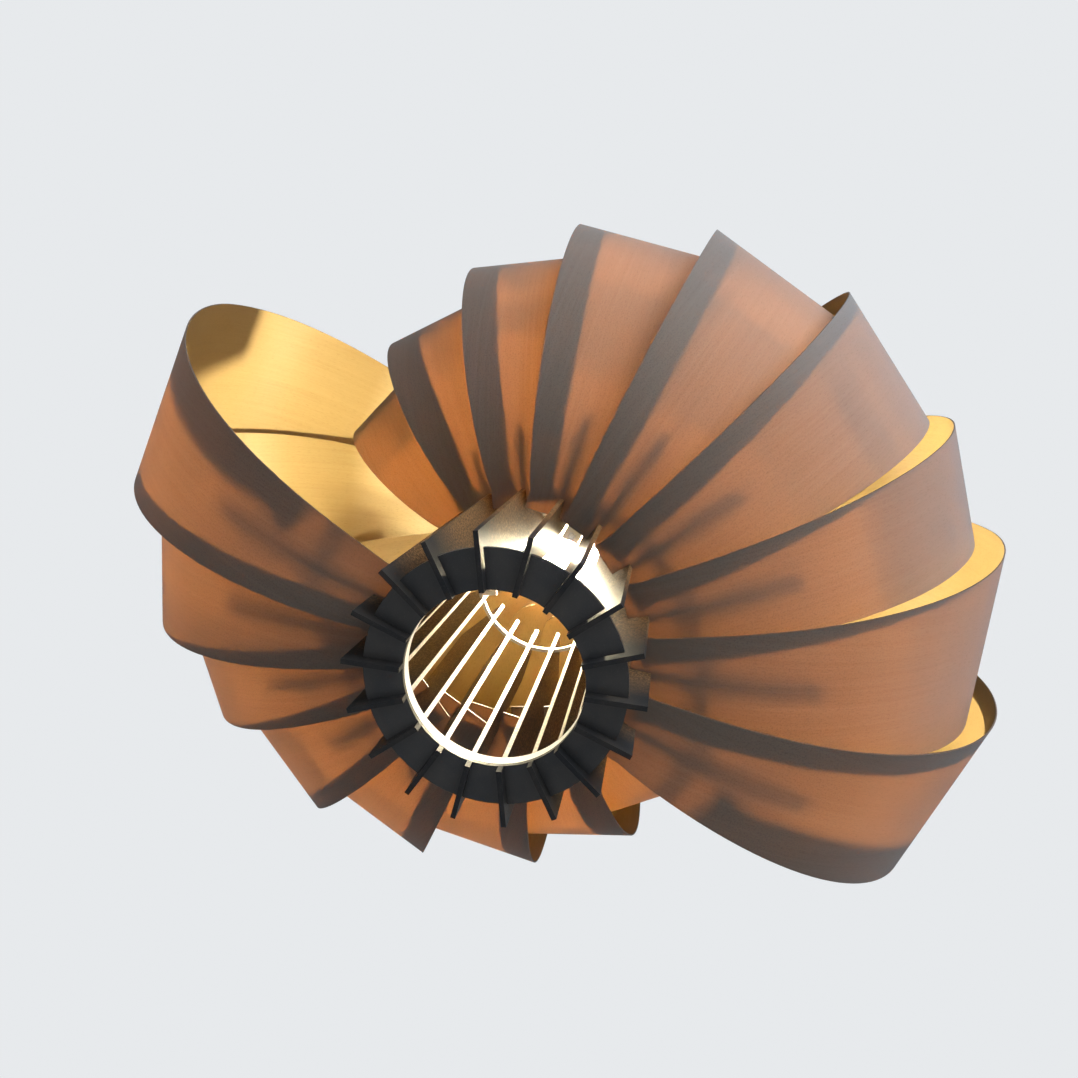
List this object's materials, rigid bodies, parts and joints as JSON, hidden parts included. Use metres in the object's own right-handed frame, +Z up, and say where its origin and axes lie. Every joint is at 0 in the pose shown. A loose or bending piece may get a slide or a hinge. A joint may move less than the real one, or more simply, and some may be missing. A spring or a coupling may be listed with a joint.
{
  "type": "ring pendant light",
  "caption": "Hanging light of nested veneer loops that spring from a drum of radial fins round one screw-in lamp.",
  "frame": {"origin": "mouth of the cord gland, on the light's vertical axis, where the light hangs", "axes": "+Z up along the cord's axis; the largest loop of the first arm points 140 degrees from +X towards +Y"},
  "size_m": [0.6602, 0.6836, 0.4592],
  "materials": {
    "veneer": "thin clear-oiled veneer, light shines through",
    "black_board": "black-stained thin board, satin",
    "white_ring": "white, satin",
    "zinc_steel": "zinc-plated",
    "holder_black": "moulded, satin",
    "porcelain": "glazed",
    "brass": "plain",
    "seal_rubber": "matt",
    "lamp_glass": "clear",
    "cap_nickel": "nickel-plated",
    "cap_insulator": "black glass-like",
    "emitter": "glowing warm white"
  },
  "bodies": {
    "frame": {"petal_01": "veneer", "petal_02": "veneer", "petal_03": "veneer", "petal_04": "veneer", "petal_05": "veneer", "petal_06": "veneer", "petal_07": "veneer", "petal_08": "veneer", "petal_09": "veneer", "petal_10": "veneer", "petal_11": "veneer", "petal_12": "veneer", "petal_13": "veneer", "petal_14": "veneer", "petal_15": "veneer", "petal_16": "veneer", "petal_17": "veneer", "petal_18": "veneer", "fin_01": "black_board", "fin_02": "black_board", "fin_03": "black_board", "fin_04": "black_board", "fin_05": "black_board", "fin_06": "black_board", "fin_07": "black_board", "fin_08": "black_board", "fin_09": "black_board", "fin_10": "black_board", "fin_11": "black_board", "fin_12": "black_board", "fin_13": "black_board", "fin_14": "black_board", "fin_15": "black_board", "fin_16": "black_board", "fin_17": "black_board", "fin_18": "black_board", "lower_ring": "black_board", "inner_collar": "white_ring", "upper_ring": "white_ring", "crown_fins": "black_board", "crown_ring": "black_board", "carrier_plate": "black_board", "hanging_rods": "zinc_steel", "rod_nuts": "zinc_steel", "holder_skirt": "holder_black", "holder_cap": "holder_black", "insulator_block": "porcelain", "holder_contacts": "brass", "gland_body": "holder_black", "gland_seal": "seal_rubber", "gland_locknut": "zinc_steel"},
    "bulb_seat": {"bulb_contact": "cap_nickel"},
    "bulb": {"bulb_glass": "lamp_glass", "bulb_cap": "cap_nickel", "bulb_insulator": "cap_insulator", "bulb_emitter": "emitter"},
    "ring_seat": {"shade_washer": "holder_black"},
    "shade_ring": {"shade_ring": "holder_black"},
    "gland_seat": {"gland_washer": "brass"},
    "gland_nut": {"gland_nut": "holder_black"}
  },
  "joints": [
    {"name": "bulb_lower", "type": "slide", "parent": "frame", "child": "bulb_seat", "axis": [0, 0, -1], "range_m": [0, 0.01996]},
    {"name": "bulb_unscrew", "type": "hinge", "parent": "bulb_seat", "child": "bulb", "pos_m": [0, 0, -0.056], "axis": [0, 0, -1], "range_deg": [0, 1980]},
    {"name": "ring_lower", "type": "slide", "parent": "frame", "child": "ring_seat", "axis": [0, 0, -1], "range_m": [0, 0.02374]},
    {"name": "ring_unscrew", "type": "hinge", "parent": "ring_seat", "child": "shade_ring", "pos_m": [0, 0, -0.053], "axis": [0, 0, -1], "range_deg": [0, 3420]},
    {"name": "gland_lift", "type": "slide", "parent": "frame", "child": "gland_seat", "axis": [0, 0, 1], "range_m": [0, 0.00699]},
    {"name": "gland_unscrew", "type": "hinge", "parent": "gland_seat", "child": "gland_nut", "pos_m": [0, 0, -0.002], "axis": [0, 0, 1], "range_deg": [0, 2520]}
  ],
  "couplings": [
    {"joint": "bulb_unscrew", "follows": "bulb_lower", "rad_per_m": 1730.9},
    {"joint": "ring_unscrew", "follows": "ring_lower", "rad_per_m": 2513.3},
    {"joint": "gland_unscrew", "follows": "gland_lift", "rad_per_m": 6283.2}
  ]
}
